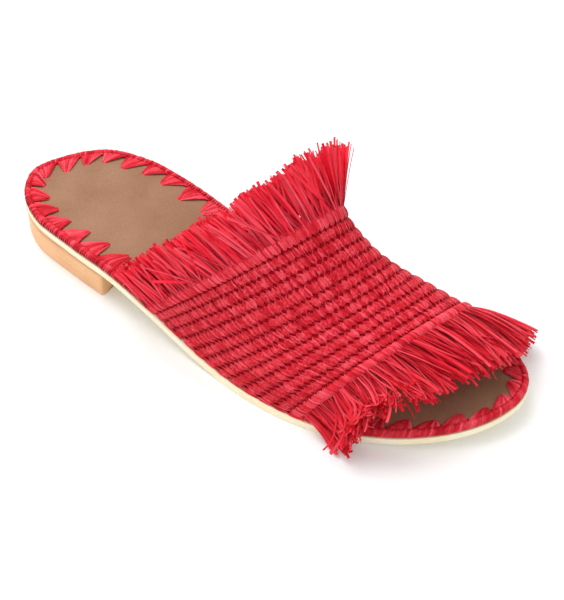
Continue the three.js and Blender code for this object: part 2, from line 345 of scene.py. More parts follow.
def raffiaFinish(name, **changes):
    look = raffiaLook | changes
    finish = Finish(name, **{"Specular IOR Level": look["gloss"]})
    strand = finish.node("ShaderNodeAttribute", {"attribute_name": "strand"}, (), "Vector")
    x, y, tone = finish.split(strand, "XYZ")

    def streaks(scales, detail):
        return finish.noise(finish.vector(x * scales[0], y * scales[1], tone * scales[2]), 1.0, detail)

    fibre, patch = streaks(look["fibre"], 3), streaks(look["patch"], 2)
    cloud = finish.noise(finish.position(), look["cloud"], 3)
    grain = finish.noise(finish.position(), look["grain"], 2)
    shade = tone * look["toneShare"] + (fibre + patch) * (look["streakShare"] - look["toneShare"] / 2)
    shade = shade + (cloud - 0.5) * look["cloudShare"] + (grain - 0.5) * look["grainShare"] + look["shadeFrom"]
    # painted shade: strips darken at their edges where they turn down, and in grooves, at holes and near fringe
    # roots, by the depth attribute
    depth = finish.node("ShaderNodeAttribute", {"attribute_name": "depth"}, (), "Fac")
    edge = abs(x) ** look["edgePower"] * look["edgeShade"]
    gap = edge.calc("MAXIMUM", edge, depth * look["grooveShade"])
    finish.feed("Base Color", finish.mix(gap, finish.tones(shade, look), (*look["gap"], 1)))
    finish.feed("Roughness", fibre * look["roughSpread"] + look["roughness"])
    finish.bump(fibre + patch * look["patchBump"], look["bump"], look["bumpDeep"])
    return finish.material


wovenRaffia = raffiaFinish("wovenRaffia")
# the rolls' copy has a brighter middle red than the weave's, painted light on the raised rolls
rollRaffia = raffiaFinish(
    "rollRaffia", middle=(0.74, 0.011, 0.03), toneShare=0.5, edgeShade=0.5, grainShare=0.25)
edgingRaffia = raffiaFinish("edgingRaffia", toneShare=0.4, edgeShade=0.5, grainShare=0.2)
# the back fringe's copy is brighter, painted light
litFringeRaffia = raffiaFinish(
    "litFringeRaffia", dark=(0.6, 0.004, 0.016), middle=(1.0, 0.016, 0.046), light=(1.0, 0.095, 0.14),
    toneShare=0.6, edgeShade=0.35, cloudShare=0.2, grainShare=0.1)
# the front fringe's copy is darker, painted shade
shadedFrontFringeRaffia = raffiaFinish(
    "shadedFrontFringeRaffia", dark=(0.46, 0.003, 0.012), middle=(0.8, 0.011, 0.03), light=(0.97, 0.08, 0.115),
    toneShare=0.6, edgeShade=0.45, cloudShare=0.2, grainShare=0.1)

paintedShadeLook = {
    "dark": (0.36, 0.002, 0.009), "light": (0.5, 0.004, 0.014), "stops": (0.3, 0.7), "grain": 900,
    "gloss": 0.05, "roughness": 0.8,
}


def paintedShadeRaffiaFinish():
    # what is seen down between the stitches, coloured dark as painted shade
    look = paintedShadeLook
    finish = Finish("paintedShadeRaffia", **{"Specular IOR Level": look["gloss"], "Roughness": look["roughness"]})
    grain = finish.noise(finish.position(), look["grain"], 2)
    finish.feed("Base Color", finish.ramp(grain, *zip(look["stops"], (look["dark"], look["light"]))))
    return finish.material


# Sole pieces: rings round the outline from the middle of the underside to the middle of the top
capPulls = (0.08, 0.25, 0.5, 0.75, 1)
edgeTurn = np.radians((0, 30, 60, 90))


def spinePull(ring, pull):
    # ring points drawn towards the line down the middle of the shoe
    y = np.clip(ring[:, 1], *sole["spine"])
    rows = np.array(sole["outline"])
    x = np.interp(y, rows[:, 0], (rows[:, 2] - rows[:, 1]) / 2)
    return lerp(ring, np.stack([x, y], -1), pull)


def capRings(ring, height, pulls):
    flats = [spinePull(ring, pull) for pull in pulls]
    return [np.column_stack([flat, height(flat[:, 1])]) for flat in flats]


def edgeRings(share, inset, r, height, rising):
    # rings round an edge of radius r, up from a lower face or on to an upper face
    rings = []
    for angle in edgeTurn[1:] if rising else edgeTurn[::-1]:
        flat = outline(share, inset + r * (1 - math.sin(angle)))
        bend = r * (1 - math.cos(angle))
        rings.append(np.column_stack([flat, height(flat[:, 1]) + (bend if rising else -bend)]))
    return rings


outsoleLook = {
    "bottomRound": 0.7, "topRound": 0.42, "points": 420,
    "dark": (0.9, 0.77, 0.48), "middle": (1.0, 0.92, 0.66), "light": (1.0, 0.97, 0.8),
    "stops": (0.28, 0.5, 0.72), "fibre": (240, 240, 2600), "fibreShare": 0.5, "cloud": 60, "cloudShare": 0.5,
    "tan": (0.88, 0.5, 0.25), "lineFrom": 10, "lineRun": 52, "lineThin": 1.2, "lineGrows": 2.4, "lineSharp": 4,
    "gloss": 0.35, "roughness": 0.45, "roughSpread": 0.25, "bump": 0.3, "bumpDeep": 0.0002,
}


def cutEdgeFinish():
    look = outsoleLook
    finish = Finish("outsoleLeather", **{"Specular IOR Level": look["gloss"]})
    fibre = finish.noise(finish.stretched(look["fibre"]), 1.0, 3, 0.6)
    cloud = finish.noise(finish.position(), look["cloud"], 2)
    cream = finish.tones(fibre * look["fibreShare"] + cloud * look["cloudShare"], look)
    # round the heel the lower part of the edge is tan, and the cream line thins towards the back
    y, z = finish.millimetres("YZ")
    line = finish.clamp((y - shift[1] - look["lineFrom"]) * (1 / look["lineRun"]))
    line = line * look["lineGrows"] + look["lineThin"]
    below = finish.clamp((sole["heelHeight"] + sole["thickness"] - z - line) * look["lineSharp"])
    tan = below * finish.clamp(heelLook["breast"] + shift[1] - y)
    finish.feed("Base Color", finish.mix(tan, cream, (*look["tan"], 1)))
    finish.feed("Roughness", fibre * look["roughSpread"] + look["roughness"])
    finish.bump(fibre, look["bump"], look["bumpDeep"])
    return finish.material


def makeOutsole():
    share = np.linspace(0, 1, outsoleLook["points"], endpoint=False)
    low, top = outsoleLook["bottomRound"], outsoleLook["topRound"]
    rings = capRings(outline(share, low), treadHeight, (*capPulls[::-1], 0))
    rings += edgeRings(share, 0, low, treadHeight, True)
    rings += edgeRings(share, 0, top, soleTop, False)
    rings += capRings(outline(share, top), soleTop, capPulls)
    makeRings("outsoleEdge", rings, cutEdgeFinish(), ["outsole"])


heelLook = {
    "breast": 63, "breastWide": 60, "breastHollow": 1.5, "topInset": 0.5, "bottomInset": 1.3,
    "cornerRound": 1.2, "footRound": 0.6, "clear": 0.02, "points": 320, "samples": 4001, "sideJump": 20,
    "middleX": -0.5, "pulls": (0, 0.5, 1), "wallShares": (0.25, 0.5, 0.75, 1),
    "dark": (0.7, 0.36, 0.15), "middle": (0.88, 0.5, 0.25), "light": (0.94, 0.6, 0.34),
    "stops": (0.28, 0.5, 0.74), "stack": (30, 30, 900), "stackShare": 0.3,
    "fibre": (500, 500, 1800), "fibreShare": 0.3, "cloud": 50, "cloudShare": 0.4,
    "joint": (0.3, 0.12, 0.04), "jointBelow": 1.4, "jointSharp": 3, "jointShare": 0.6,
    "gloss": 0.4, "roughness": 0.4, "roughSpread": 0.25, "bump": 0.3, "bumpDeep": 0.0002, "fibreBump": 0.5,
}


def heelFinish():
    look = heelLook
    finish = Finish("heelLeather", **{"Specular IOR Level": look["gloss"]})
    stack = finish.noise(finish.stretched(look["stack"]), 1.0, 2, 0.5)
    fibre = finish.noise(finish.stretched(look["fibre"]), 1.0, 3, 0.6)
    cloud = finish.noise(finish.position(), look["cloud"], 2)
    shade = stack * look["stackShare"] + fibre * look["fibreShare"] + cloud * look["cloudShare"]
    # the joint under the sole's rand shows as a thin brown line
    z, = finish.millimetres("Z")
    joint = finish.clamp(1 - abs(z - (sole["heelHeight"] - look["jointBelow"])) * look["jointSharp"])
    brown = (*look["joint"], 1)
    finish.feed("Base Color", finish.mix(joint * look["jointShare"], finish.tones(shade, look), brown))
    finish.feed("Roughness", fibre * look["roughSpread"] + look["roughness"])
    finish.bump(fibre * look["fibreBump"] + stack, look["bump"], look["bumpDeep"])
    return finish.material


def heelPlan(inset):
    # round the back of the heel, then across the breast, which bows in a little
    half = heelLook["points"] // 2
    ring = outline(np.linspace(0, 1, heelLook["samples"]), inset)
    back = ring[ring[:, 1] < heelLook["breast"] - heelLook["cornerRound"]]
    start = np.argmax(np.abs(np.diff(back[:, 0], append=back[-1, 0])) > heelLook["sideJump"]) + 1
    back = np.roll(back, -start, axis=0)
    run = np.linspace(0, len(back) - 1, half)
    back = np.stack([np.interp(run, np.arange(len(back)), column) for column in back.T], -1)
    t = np.linspace(0, 1, heelLook["points"] - half + 2)[1:-1]
    across = lerp(back[-1], back[0], t[:, None])
    corner = np.clip(np.minimum(t, 1 - t) * heelLook["breastWide"] / heelLook["cornerRound"], 0, 1)
    across[:, 1] += heelLook["cornerRound"] * np.sqrt(1 - (1 - corner) ** 2)
    across[:, 1] -= heelLook["breastHollow"] * 4 * t * (1 - t)
    return np.vstack([back, across])


def makeHeel():
    foot, clear, pulls = heelLook["footRound"], heelLook["clear"], heelLook["pulls"]
    bottom, low = heelPlan(heelLook["bottomInset"] + foot), heelPlan(heelLook["bottomInset"])
    top = heelPlan(heelLook["topInset"])

    def middle(ring, pull):
        return lerp(ring, np.array([heelLook["middleX"], 0]) + ring * np.array([0, 1]), pull)

    rings = [np.column_stack([middle(bottom, pull), np.zeros(len(bottom))]) for pull in pulls[::-1]]
    rings.append(np.column_stack([low, np.full(len(low), foot)]))
    for share in heelLook["wallShares"]:
        ring = lerp(low, top, share)
        rings.append(np.column_stack([ring, lerp(foot, treadHeight(ring[:, 1]) - clear, share)]))
    rings += [np.column_stack([middle(top, pull), treadHeight(top[:, 1]) - clear]) for pull in pulls[1:]]
    makeRings("heelBlock", rings, heelFinish(), ["heel"])


insoleLook = {
    "inset": 4, "height": 3.0, "lift": 0.1, "edgeRound": 1.0, "points": 420, "pulls": np.linspace(0.05, 1, 16),
    "dark": (0.27, 0.137, 0.075), "middle": (0.345, 0.186, 0.111), "light": (0.41, 0.235, 0.147),
    "stops": (0.3, 0.52, 0.75), "nap": 1400, "napShare": 0.45, "cloud": 45, "cloudShare": 0.55,
    "gloss": 0.12, "roughness": 0.7, "roughSpread": 0.2, "bump": 0.35, "bumpDeep": 0.0004, "cloudBump": 0.6,
}


def suedeFinish():
    look = insoleLook
    finish = Finish("insoleSuede", **{"Specular IOR Level": look["gloss"]})
    nap = finish.noise(finish.position(), look["nap"], 3, 0.6)
    cloud = finish.noise(finish.position(), look["cloud"], 3)
    finish.feed("Base Color", finish.tones(nap * look["napShare"] + cloud * look["cloudShare"], look))
    finish.feed("Roughness", nap * look["roughSpread"] + look["roughness"])
    finish.bump(nap + cloud * look["cloudBump"], look["bump"], look["bumpDeep"])
    return finish.material


def insoleTop(y):
    return soleTop(y) + insoleLook["height"]


def makeInsole():
    share = np.linspace(0, 1, insoleLook["points"], endpoint=False)
    inset, r = insoleLook["inset"], insoleLook["edgeRound"]
    ring = outline(share, inset)
    rings = [np.column_stack([ring, soleTop(ring[:, 1]) + insoleLook["lift"]])]
    rings += edgeRings(share, inset, r, insoleTop, False)
    rings += capRings(outline(share, inset + r), insoleTop, insoleLook["pulls"])
    makeRings("insoleSock", rings, suedeFinish(), ["insole"])


# The band: arches from the back edge (place 0) to the front edge (place 1)
band = {
    "inset": 2.8, "feetFrom": 60, "feetTo": 230, "feetSteps": 200, "step": 0.003,
    "arches": [  # place, little-toe foot, big-toe foot, height, forward lean, fullness, crown skew
        (0, 89, 106, 60, 54.5, 2.46, -6.8),
        (0.33, 119, 138, 46, 46, 2.4, -5),
        (0.665, 149, 172, 37.5, 32, 2.3, -3),
        (1, 179, 205, 31, 18.5, 2.2, -1),
    ],
}
archRows = np.array(band["arches"])
archCurves = [np.polyfit(archRows[:, 0], column, 3) for column in archRows[:, 1:].T]
feetY = np.linspace(band["feetFrom"], band["feetTo"], band["feetSteps"])
lateralFeet, medialFeet = (sideX(feetY, band["inset"], lateral) for lateral in (True, False))


def bandSkin(across, place):
    # the band's inner face: across from the little-toe foot (0) to the big-toe foot (1)
    across, place = np.broadcast_arrays(np.asarray(across, float), np.asarray(place, float))
    lateralFoot, medialFoot, height, lean, fullness, skew = (np.polyval(curve, place) for curve in archCurves)
    angle = math.pi * across
    reach = np.sign(np.cos(angle)) * np.abs(np.cos(angle)) ** (2 / fullness)
    climb = np.abs(np.sin(angle)) ** (2 / fullness)
    mix = (1 - reach) / 2
    x = lerp(np.interp(lateralFoot, feetY, lateralFeet), np.interp(medialFoot, feetY, medialFeet), mix)
    y = lerp(lateralFoot, medialFoot, mix)
    z = lerp(soleTop(lateralFoot), soleTop(medialFoot), mix)
    return np.stack([x + skew * climb * (1 - reach**2), y + lean * climb, z + height * climb], -1)


def bandFrame(across, place):
    # directions along the rows, out of the face, and forward off the row
    step = band["step"]
    across = np.clip(across, step, 1 - step)
    edge = unit(bandSkin(across + step, place) - bandSkin(across - step, place))
    forward = bandSkin(across, np.add(place, step)) - bandSkin(across, np.subtract(place, step))
    out = unit(np.cross(forward, edge))
    return edge, out, np.cross(edge, out)


def bandOut(across, place):
    return bandFrame(across, place)[1]


arcSamples = np.linspace(0, 1, 500)
placeSamples = np.linspace(0, 1, 40)
arcRuns = []
for sample in placeSamples:
    steps = np.linalg.norm(np.diff(bandSkin(arcSamples, sample), axis=0), axis=1)
    arcRuns.append(np.concatenate([[0], np.cumsum(steps)]))
arcLengths = np.array([run[-1] for run in arcRuns])


def rowLength(place):
    return float(np.interp(place, placeSamples, arcLengths))


def evenAcross(share, place):
    # the across value at an even share of a row's own length
    run = arcRuns[int(round(place * (len(placeSamples) - 1)))]
    return np.interp(np.clip(share, 0, 1), run / run[-1], arcSamples)


def gridAcross(shares, places):
    return np.stack([evenAcross(share, place) for share, place in zip(shares.T, places)], 1)


weave = {
    # where the rows of holes lie between the back edge (0) and the front edge (1)
    "grooves": (0.075, 0.129, 0.188, 0.251, 0.328, 0.398, 0.478, 0.56, 0.648, 0.74, 0.833, 0.914),
    # the holes by the rolls are narrower, and those at the feet
    "holePitch": 2.9, "rowOpen": (0.75, 1), "rollOpen": 0.55, "footOpen": 0.55, "holeOpen": (0.75, 1.0),
    "holeReach": 1.05, "partReach": 1.5, "holeWide": (0.4, 1.0), "holeLong": (0.5, 1.1),
    "grooveRise": 0.85, "crestRise": 1.6, "innerRise": 0.3, "humpPower": 0.6,
    # painted shade: how wide and how dark a band along each groove is; holeWide and holeLong size the dark
    # spots at the holes
    "grooveWide": 2.4, "paintedGrooveShade": 0.4, "crownAt": 0.45,
    "footFade": 9, "footRibs": 0.35, "footFlare": 0.8, "flareRun": 6,
    "strandPitch": 0.88, "strandBow": 0.17, "wander": 0.14, "slant": 0.5, "bump": 0.08, "tone": (0.5, 0.22),
    "wide": 1.2, "narrow": 0.4, "narrowPower": 1.1, "wideSpread": (0.94, 1.08), "alongSpread": 400,
}
holeRows = {}  # for each groove how many holes it has, where they start and how far each is open
for groove in weave["grooves"]:
    holes = round(rowLength(groove) / weave["holePitch"])
    byRoll = groove in (weave["grooves"][0], weave["grooves"][-1])
    widest = weave["rollOpen"] if byRoll else rng.uniform(*weave["rowOpen"])
    widest = widest * lerp(weave["footOpen"], 1, np.sin(math.pi * np.linspace(0, 1, holes + 2)) ** 0.5)
    holeRows[groove] = holes, rng.uniform(0, 1), widest * rng.uniform(*weave["holeOpen"], holes + 2)


def parted(share, groove):
    # how far strands are drawn away from the nearest hole of a groove
    holes, start, openness = holeRows[groove]
    spot = share * holes + start
    hole = np.round(spot).astype(int)
    off = spot - hole
    return np.sign(off) * (0.5 - np.abs(off)) * openness[hole] / holes


def holeShade(share, groove, run):
    # painted shade: dark at the holes of a groove, for points at shares of its row and at a run away from it
    holes, start = holeRows[groove][:2]
    off = np.abs(share * holes + start - np.round(share * holes + start)) * weave["holePitch"]
    return (1 - smoothStep(off, *weave["holeWide"])) * (1 - smoothStep(run, *weave["holeLong"]))


def spanLength(first, last):
    # how long each strand is between two places, at the crown
    middle = bandSkin(weave["crownAt"], np.array([first, last]))
    return float(np.linalg.norm(middle[1] - middle[0]))


def footFade(share, row):
    # ribs flatten where the band goes down to the sole
    rising = smoothStep(np.minimum(share, 1 - share) * row, 0, weave["footFade"])
    return lerp(weave["footRibs"], 1, rising)[:, None]


def footFlare(share, row):
    # and spread out over the sole's edge there
    rising = smoothStep(np.minimum(share, 1 - share) * row, 0, weave["flareRun"])
    return weave["footFlare"] * (1 - rising)[:, None]


def ribStrands(first, last, outside):
    # the strands that cross one rib, from groove to groove
    row, span = rowLength((first + last) / 2), spanLength(first, last)
    count = int(row / weave["strandPitch"])
    share = evenShares(count) + rng.normal(0, weave["wander"], count) / row
    starts, ends = parted(share, first), parted(share, last)
    slant = rng.normal(0, weave["slant"], (count, 1)) / row
    reach, parting = weave["holeReach"], weave["partReach"] * weave["holeReach"]
    entry = np.array([-0.2, 0.3, 0.7 * reach, 1.3 * reach])  # from under the groove out past its holes
    run = np.concatenate([entry, [span / 2], span - entry[::-1]])
    t = run / span
    near, far = 1 - smoothStep(run, 0, parting), smoothStep(run, span - parting, span)
    shares = share[:, None] + starts[:, None] * near + ends[:, None] * far + slant * (t - 0.5)
    places = first + (last - first) * t
    across = gridAcross(shares, places)
    out = bandOut(across, places)
    hump = np.sin(math.pi * np.clip(t, 0, 1)) ** weave["humpPower"] * footFade(share, row)
    if outside:
        rise = lerp(weave["grooveRise"], weave["crestRise"], hump)
    else:
        rise = weave["innerRise"] - weave["innerRise"] * hump
    rise = rise + rng.normal(0, weave["bump"], (count, 1)) * hump + footFlare(share, row) * outside
    path = bandSkin(across, places) + out * rise[..., None]
    side, face = stripFrame(path, out if outside else -out)
    narrowing = lerp(weave["wide"], weave["narrow"], np.maximum(near, far) ** weave["narrowPower"])
    half = 0.5 * row / count * narrowing * rng.uniform(*weave["wideSpread"], (count, 1))
    points = ribbons(path, side, face, half, weave["strandBow"])
    data = strandData(len(t), span, randomTones(count, *weave["tone"]))
    data[..., 1] += rng.uniform(0, weave["alongSpread"], (count, 1, 1))
    # painted shade: a darker band along each groove and dark spots at its holes
    wide = weave["grooveWide"]
    depth = np.maximum(1 - smoothStep(run, 0, wide), smoothStep(run, span - wide, span)) * weave["paintedGrooveShade"]
    depth = depth[:, None]
    spots = shares[..., None] + np.linspace(-0.5, 0.5, stripColumns) / count
    for groove, away in ((first, run), (last, span - run)):
        depth = np.maximum(depth, holeShade(spots, groove, away[:, None]))
    return points, data, depth


def makeWeave():
    lines = weave["grooves"]
    for name, outside in (("upperWeave", True), ("upperInnerWeave", False)):
        ribs = zip(*(ribStrands(a, b, outside) for a, b in zip(lines, lines[1:])))
        makeStrips(name, [np.concatenate(layer) for layer in ribs], wovenRaffia, ["upper"])


core = {"rows": 60, "columns": 90, "from": 0.02, "to": 0.98, "outer": 0.75, "inner": 0.35}


def makeCore():
    # the ground of the weave, seen only down its holes, coloured dark as painted shade there
    rows, columns = core["rows"], core["columns"]
    place, across = np.meshgrid(
        np.linspace(core["from"], core["to"], rows), np.linspace(0, 1, columns), indexing="ij")
    out = bandOut(across, place)
    skin = bandSkin(across, place)
    shells = np.stack([skin + out * core["outer"], (skin + out * core["inner"])[:, ::-1]])
    makePiece("upperCore", shells, gridQuads(2, rows, columns), paintedShadeRaffiaFinish(), ["upper"])


# Rolled edges: the groove they start from, their end, height and ground, and what both share
rolls = {
    "upperBackRoll": {"groove": 0.075, "end": 0.0, "height": 1.7, "ground": 0.9},
    "upperFrontRoll": {"groove": 0.914, "end": 0.995, "height": 1.9, "ground": 0.8},
}
rollWinding = {
    "from": 176, "to": -140, "steps": 15, "swell": 0.04, "nearShare": 0.15, "length": 12.0,
    "tone": (0.55, 0.24), "wide": 1.15, "narrow": 0.42, "narrowPower": 1.5,
}


def rollStrands(look):
    # strands wound round a rolled edge, from its groove over the top and round to the inside
    wind = rollWinding
    middle = (look["groove"] + look["end"]) / 2
    row = rowLength(middle)
    count = int(row / weave["strandPitch"])
    share = evenShares(count)
    angles = np.radians(np.linspace(wind["from"], wind["to"], wind["steps"]))
    places = middle + (look["end"] - middle) * np.cos(angles)
    near = 1 - smoothStep(np.linspace(0, 1, len(angles)), 0, wind["nearShare"])
    shares = share[:, None] + parted(share, look["groove"])[:, None] * near
    across = gridAcross(shares, places)
    swell = look["height"] * (1 + rng.normal(0, wind["swell"], (count, 1))) * footFade(share, row)
    rise = look["ground"] + swell * np.sin(angles) + footFlare(share, row)
    path = bandSkin(across, places) + bandOut(across, places) * rise[..., None]
    centre = bandSkin(across, middle) + bandOut(across, middle) * look["ground"]
    side, face = stripFrame(path, unit(path - centre))
    narrowing = lerp(wind["wide"], wind["narrow"], near ** wind["narrowPower"])
    half = 0.5 * row / count * narrowing * rng.uniform(*weave["wideSpread"], (count, 1))
    points = ribbons(path, side, face, half, weave["strandBow"])
    return points, strandData(len(angles), wind["length"], randomTones(count, *wind["tone"])), None


def makeRolls():
    for name, look in rolls.items():
        makeStrips(name, rollStrands(look), rollRaffia, ["upper"])


# Fringes: flat strips that leave the rolled edges
# Tables go from the little-toe foot (0) to the big-toe foot (1)
backFringe = {
    "strips": 1000, "halfWidth": (0.4, 0.8), "from": 0.005, "to": 0.985, "way": -1,
    "place": 0.012, "rise": (1.2, 3.0), "rootIn": 1.6, "topLayer": (0.8, 0.95), "rootShade": 0.75,
    "length": [(0, 22), (0.4, 24), (0.5, 26.5), (0.56, 28.5), (0.62, 27), (1, 24)], "lengthSpread": 0.06,
    "droop": [(0, 0.05), (1, 0.05)], "curl": [(0, 0), (1, 0)], "twist": 16, "liftSpread": 8,
    "lift": [(0, 14), (0.1, 9), (0.42, 5), (0.55, 6), (0.58, 19), (0.61, 35), (0.66, 33), (0.75, 28), (1, 20)],
    "lean": [(0, 6), (0.08, 2), (0.15, -8), (0.36, -12), (0.54, -12), (0.57, -6), (0.6, 4), (1, 6)],
    "splay": [(0, 4), (0.12, 6), (0.25, 5), (0.5, 5), (0.6, 10), (0.88, 8), (1, 4)],
    "strayShare": 0.22, "strayFrom": 0.17, "strayTo": 0.88, "straySplay": 20,
}
frontFringe = {
    "strips": 640, "halfWidth": (0.36, 0.68), "from": 0.035, "to": 0.965, "way": 1,
    "place": 0.985, "rise": (0.2, 2.2), "rootIn": 0.8, "topLayer": (0.7, 0.92), "rootShade": 0.75,
    "length": [
        (0, 23), (0.08, 22), (0.15, 21), (0.27, 22), (0.36, 25.5), (0.46, 27), (0.7, 27), (0.86, 27), (1, 25)],
    "lengthSpread": 0.1, "twist": 25, "liftSpread": 7,
    "droop": [
        (0, 0.3), (0.1, 0.12), (0.3, 0.12), (0.42, 0.2), (0.52, 0.18), (0.62, 0.28), (0.75, 0.42), (1, 0.42)],
    "lift": [(0, 16), (0.1, 12), (0.3, 9), (0.7, 10), (0.85, 22), (1, 22)],
    "lean": [(0, 32), (0.08, 24), (0.15, 8), (0.3, 13), (0.38, 20), (0.48, 27), (0.56, 16), (0.64, 4), (1, 0)],
    "splay": [(0, 4.5), (1, 4.5)],
    "strayShare": 0.12, "strayFrom": 0, "strayTo": 1, "straySplay": 13,
    "curl": [(0, 0.06), (0.1, 0.1), (0.16, 0.4), (0.31, 0.4), (0.36, 0.06), (0.5, 0.03), (1, 0.04)],
}
fringeStrip = {
    "steps": 11, "lowest": 1.6, "tone": (0.55, 0.24), "crown": (0.15, 0.55), "rootWide": 0.5, "widens": 2.6,
    "lengthWave": 0.03, "wavePitch": 47, "clumps": ((3.5, 61, 1), (2.5, 143, 0)),  # degrees, pitch, start
    "curlSpread": 0.04, "curlShare": 0.2, "curlPower": 2.5, "bendSpread": 0.04, "curlyBend": 0.3,
    "hook": (1, 6), "hookFrom": 0.35, "aside": (0.2, 0.8), "kink": 3, "kinkStart": (0, 7), "kinkTurn": (5, 9),
    "twistGrows": 1.4, "shadeRun": (0.12, 0.6),
}


def fringeHeadings(look, share, layer, edge, out, ahead):
    # which way each strip sets off, and how long it is
    count = len(share)
    strays = rng.uniform(0, 1, count) < look["strayShare"]
    strays = strays & (share > look["strayFrom"]) & (share < look["strayTo"])
    stray = np.where(strays, look["straySplay"], tableAt(look["splay"], share))
    # neighbours lean together
    clump = sum(angle * np.sin(share * pitch + start) for angle, pitch, start in fringeStrip["clumps"])
    wave = fringeStrip["lengthWave"] * np.sin(share * fringeStrip["wavePitch"])
    length = tableAt(look["length"], share) * (1 + look["lengthSpread"] * rng.uniform(-1, 1, count) + wave)
    lift = np.radians(tableAt(look["lift"], share) + look["liftSpread"] * (layer * 2 - 1))
    splay = np.radians(tableAt(look["lean"], share) + clump + rng.normal(0, 1, count) * stray)
    heading = ahead * (np.cos(lift) * np.cos(splay))[:, None]
    heading += out * np.sin(lift)[:, None] + edge * (np.cos(lift) * np.sin(splay))[:, None]
    return heading, length


def fringePaths(look, share, root, heading, length, edge, out, t):
    strip, count = fringeStrip, len(share)
    curly = tableAt(look["curl"], share)
    run = length[:, None]
    curl = (rng.normal(0, strip["curlSpread"], count) + curly * strip["curlShare"])[:, None]
    curl = curl * run * t ** strip["curlPower"]
    bend = rng.normal(0, strip["bendSpread"], count) + curly * rng.normal(0, strip["curlyBend"], count)
    bend = bend[:, None] * run * t**2
    # curly strips turn back at their ends, up or to a side
    hook = (curly * rng.uniform(*strip["hook"], count))[:, None] * smoothStep(t, strip["hookFrom"], 1)
    aside = rng.normal(*strip["aside"], count)[:, None]
    turned = out * np.cos(aside) + edge * np.sin(aside)
    way = heading[:, None] * np.cos(hook)[..., None] + turned[:, None] * np.sin(hook)[..., None]
    walked = np.concatenate([np.zeros((count, 1, 3)), (way[:, 1:] + way[:, :-1]) / 2], 1)
    path = root[:, None] + np.cumsum(walked, 1) / (len(t) - 1) * run[..., None]
    path = path + out[:, None] * curl[..., None] + edge[:, None] * bend[..., None]
    # and are kinked on their way
    kink = curly[:, None] * strip["kink"] * t
    turn = rng.uniform(*strip["kinkStart"], (count, 1)) + rng.uniform(*strip["kinkTurn"], (count, 1)) * t
    rolling, swaying = (kink * np.sin(turn))[..., None], (kink * np.cos(turn))[..., None]
    path = path + out[:, None] * rolling + edge[:, None] * swaying
    path[..., 2] -= (tableAt(look["droop"], share) * length)[:, None] * t**2
    path[..., 2] = np.maximum(path[..., 2], strip["lowest"])
    return path


def fringeStrips(look):
    strip, count = fringeStrip, look["strips"]
    share = lerp(look["from"], look["to"], (np.arange(count) + rng.uniform(0, 1, count)) / count)
    across = evenAcross(share, look["place"])
    edge, out, ahead = bandFrame(across, look["place"])
    ahead = ahead * look["way"]
    layer = rng.uniform(0, 1, count)
    heading, length = fringeHeadings(look, share, layer, edge, out, ahead)
    rise = lerp(*look["rise"], layer)[:, None]
    root = bandSkin(across, look["place"]) + out * rise - ahead * look["rootIn"]
    t = np.linspace(0, 1, strip["steps"])
    path = fringePaths(look, share, root, heading, length, edge, out, t)
    twist = np.radians(rng.normal(0, look["twist"], (count, 1)) * (1 + strip["twistGrows"] * t))[..., None]
    side, face = stripFrame(path, out[:, None])
    side, face = side * np.cos(twist) + face * np.sin(twist), face * np.cos(twist) - side * np.sin(twist)
    widening = lerp(strip["rootWide"], 1, np.clip(t * strip["widens"], 0, 1))
    half = rng.uniform(*look["halfWidth"], (count, 1)) * widening
    points = ribbons(path, side, face, half, half * rng.uniform(*strip["crown"], (count, 1)))
    data = strandData(len(t), length, randomTones(count, *strip["tone"]))
    # painted shade between the top strips near their roots
    under = 1 - smoothStep(layer, *look["topLayer"])
    depth = look["rootShade"] * under[:, None] * (1 - smoothStep(t, *strip["shadeRun"]))
    return points, data, np.broadcast_to(depth[..., None], points.shape[:3])


def makeFringes():
    for name, look, finish, node in (
        ("fringeBackStrips", backFringe, litFringeRaffia, "fringe_back"),
        ("fringeFrontStrips", frontFringe, shadedFrontFringeRaffia, "fringe_front"),
    ):
        makeStrips(name, fringeStrips(look), finish, [node])


# Edging of the insole: a bound cord round its rim and fans of stitches to a zigzag of holes
rimCord = {
    "inset": 1.75, "wide": 1.35, "tall": 1.85, "lift": 0.15, "pitch": 1.25, "slant": 1.6, "swell": 0.05,
    "from": -80, "to": 210, "steps": 13, "strandHalf": 0.58, "strandBow": 0.22, "length": 10.0,
    "tone": (0.45, 0.22), "margin": 0.5,
}
rimGround = {
    "points": 500, "margin": 1, "bandInset": 1.8,
    # inset and height of each ring, from the skirt over the cord's middle to under the fans
    "rings": [(0.9, 0.1), (0.8, 1.6), (1.0, 2.8), (1.75, 3.4), (2.5, 2.9), (3.1, 2.9), (4.4, 2.9)],
}
fans = {
    "points": 48, "strands": 8, "steps": 8, "from": 2.8, "footWide": 0.86, "tipWide": 0.8, "tipLean": 4.2,
    # how deep the points reach, round from the heel along the little-toe side to the toe and back
    "tipDepth": [
        (0, 10.5), (0.08, 12.5), (0.16, 13), (0.38, 9), (0.46, 7.5),
        (0.52, 10), (0.6, 12.5), (0.85, 12), (0.93, 10.5), (1, 10.5)],
    "depthSpread": 0.7, "tipSpread": 0.25, "belly": 0.2, "footSink": -0.2, "tipSink": -0.5,
    "lift": 0.3, "arch": 0.5, "archRun": 1.15, "archPower": 0.8, "liftSpread": 0.1,
    "footHalf": 0.9, "tipHalf": 0.42, "halfSpread": (0.8, 1.1), "bow": 0.4, "length": 12.0, "tone": (0.5, 0.24),
}


def clearOfBand(share, margin):
    # true where the band's feet don't stand, so that the rim's cord stops at them
    spot = outline(share)
    foot = np.where(spot[:, 0] > 0, 1, 2)  # the column of the little-toe foot or of the big-toe foot
    return (spot[:, 1] < archRows[0, foot] - margin) | (spot[:, 1] > archRows[-1, foot] + margin)


